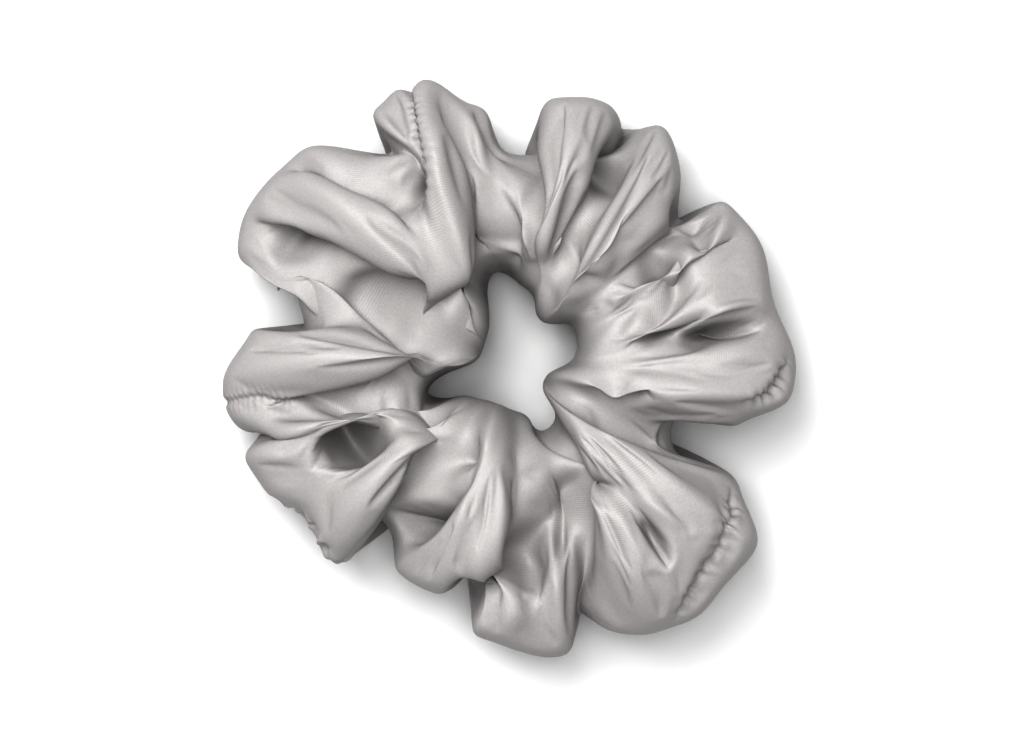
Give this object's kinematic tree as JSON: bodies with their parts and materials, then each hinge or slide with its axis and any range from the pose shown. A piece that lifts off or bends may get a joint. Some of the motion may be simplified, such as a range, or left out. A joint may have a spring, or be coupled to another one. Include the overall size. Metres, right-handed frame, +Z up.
{
  "type": "hair scrunchie",
  "caption": "Large gathered satin ring over a hidden elastic band, for tying hair; the ring stretches open evenly and springs back.",
  "frame": {"origin": "middle of the ring's outline, on the surface that it lies on", "axes": "+Z up out of the ring's plane, +X and +Y across the ring; the closing seam lies near -X"},
  "size_m": [0.115, 0.1186, 0.042],
  "materials": {
    "satin": "satin",
    "elastic": "matte",
    "thread": "satin"
  },
  "bodies": {
    "root": {"cover_puff_01": "satin", "elastic_band_01": "elastic", "long_seam_thread_01": "thread", "closing_seam_thread": "thread", "elastic_overlap": "elastic", "elastic_join_thread": "thread"},
    "arc_02": {"cover_puff_02": "satin", "elastic_band_02": "elastic", "long_seam_thread_02": "thread"},
    "arc_03": {"cover_puff_03": "satin", "elastic_band_03": "elastic", "long_seam_thread_03": "thread"},
    "arc_04": {"cover_puff_04": "satin", "elastic_band_04": "elastic", "long_seam_thread_04": "thread"},
    "arc_05": {"cover_puff_05": "satin", "elastic_band_05": "elastic", "long_seam_thread_05": "thread"},
    "arc_06": {"cover_puff_06": "satin", "elastic_band_06": "elastic", "long_seam_thread_06": "thread"},
    "arc_07": {"cover_puff_07": "satin", "elastic_band_07": "elastic", "long_seam_thread_07": "thread"},
    "arc_08": {"cover_puff_08": "satin", "elastic_band_08": "elastic", "long_seam_thread_08": "thread"},
    "arc_09": {"cover_puff_09": "satin", "elastic_band_09": "elastic", "long_seam_thread_09": "thread"},
    "arc_10": {"cover_puff_10": "satin", "elastic_band_10": "elastic", "long_seam_thread_10": "thread"},
    "arc_11": {"cover_puff_11": "satin", "elastic_band_11": "elastic", "long_seam_thread_11": "thread"},
    "arc_12": {"cover_puff_12": "satin", "elastic_band_12": "elastic", "long_seam_thread_12": "thread"},
    "arc_13": {"cover_puff_13": "satin", "elastic_band_13": "elastic", "long_seam_thread_13": "thread"},
    "arc_14": {"cover_puff_14": "satin", "elastic_band_14": "elastic", "long_seam_thread_14": "thread"},
    "arc_15": {"cover_puff_15": "satin", "elastic_band_15": "elastic", "long_seam_thread_15": "thread"}
  },
  "joints": [
    {"name": "stretch_02", "type": "slide", "parent": "root", "child": "arc_02", "axis": [0.4187, -0.9081, 0], "range_m": [0, 0.01423], "stiffness_N_per_m": 200},
    {"name": "stretch_03", "type": "slide", "parent": "arc_02", "child": "arc_03", "axis": [0.8192, -0.5736, 0], "range_m": [0, 0.0108], "stiffness_N_per_m": 200},
    {"name": "stretch_04", "type": "slide", "parent": "arc_03", "child": "arc_04", "axis": [0.9897, -0.1435, 0], "range_m": [0, 0.01141], "stiffness_N_per_m": 200},
    {"name": "stretch_05", "type": "slide", "parent": "arc_04", "child": "arc_05", "axis": [0.9483, 0.3173, 0], "range_m": [0, 0.0108], "stiffness_N_per_m": 200},
    {"name": "stretch_06", "type": "slide", "parent": "arc_05", "child": "arc_06", "axis": [0.7343, 0.6788, 0], "range_m": [0, 0.00937], "stiffness_N_per_m": 200},
    {"name": "stretch_07", "type": "slide", "parent": "arc_06", "child": "arc_07", "axis": [0.3907, 0.9205, 0], "range_m": [0, 0.0108], "stiffness_N_per_m": 200},
    {"name": "stretch_08", "type": "slide", "parent": "arc_07", "child": "arc_08", "axis": [-0.098, 0.9952, 0], "range_m": [0, 0.01293], "stiffness_N_per_m": 200},
    {"name": "stretch_09", "type": "slide", "parent": "arc_08", "child": "arc_09", "axis": [-0.5825, 0.8128, 0], "range_m": [0, 0.01192], "stiffness_N_per_m": 200},
    {"name": "stretch_10", "type": "slide", "parent": "arc_09", "child": "arc_10", "axis": [-0.884, 0.4675, 0], "range_m": [0, 0.01008], "stiffness_N_per_m": 200},
    {"name": "stretch_11", "type": "slide", "parent": "arc_10", "child": "arc_11", "axis": [-0.9933, 0.1154, 0], "range_m": [0, 0.00761], "stiffness_N_per_m": 200},
    {"name": "stretch_12", "type": "slide", "parent": "arc_11", "child": "arc_12", "axis": [-0.979, -0.2036, 0], "range_m": [0, 0.00772], "stiffness_N_per_m": 200},
    {"name": "stretch_13", "type": "slide", "parent": "arc_12", "child": "arc_13", "axis": [-0.8387, -0.5446, 0], "range_m": [0, 0.00998], "stiffness_N_per_m": 200},
    {"name": "stretch_14", "type": "slide", "parent": "arc_13", "child": "arc_14", "axis": [-0.5736, -0.8192, 0], "range_m": [0, 0.00834], "stiffness_N_per_m": 200},
    {"name": "stretch_15", "type": "slide", "parent": "arc_14", "child": "arc_15", "axis": [-0.1521, -0.9884, 0], "range_m": [0, 0.01343], "stiffness_N_per_m": 200}
  ],
  "couplings": [
    {"joint": "stretch_03", "follows": "stretch_02", "ratio": 0.75858},
    {"joint": "stretch_04", "follows": "stretch_02", "ratio": 0.80153},
    {"joint": "stretch_05", "follows": "stretch_02", "ratio": 0.75858},
    {"joint": "stretch_06", "follows": "stretch_02", "ratio": 0.65789},
    {"joint": "stretch_07", "follows": "stretch_02", "ratio": 0.75858},
    {"joint": "stretch_08", "follows": "stretch_02", "ratio": 0.90827},
    {"joint": "stretch_09", "follows": "stretch_02", "ratio": 0.83721},
    {"joint": "stretch_10", "follows": "stretch_02", "ratio": 0.70832},
    {"joint": "stretch_11", "follows": "stretch_02", "ratio": 0.5348},
    {"joint": "stretch_12", "follows": "stretch_02", "ratio": 0.54206},
    {"joint": "stretch_13", "follows": "stretch_02", "ratio": 0.70112},
    {"joint": "stretch_14", "follows": "stretch_02", "ratio": 0.58558},
    {"joint": "stretch_15", "follows": "stretch_02", "ratio": 0.94364}
  ]
}
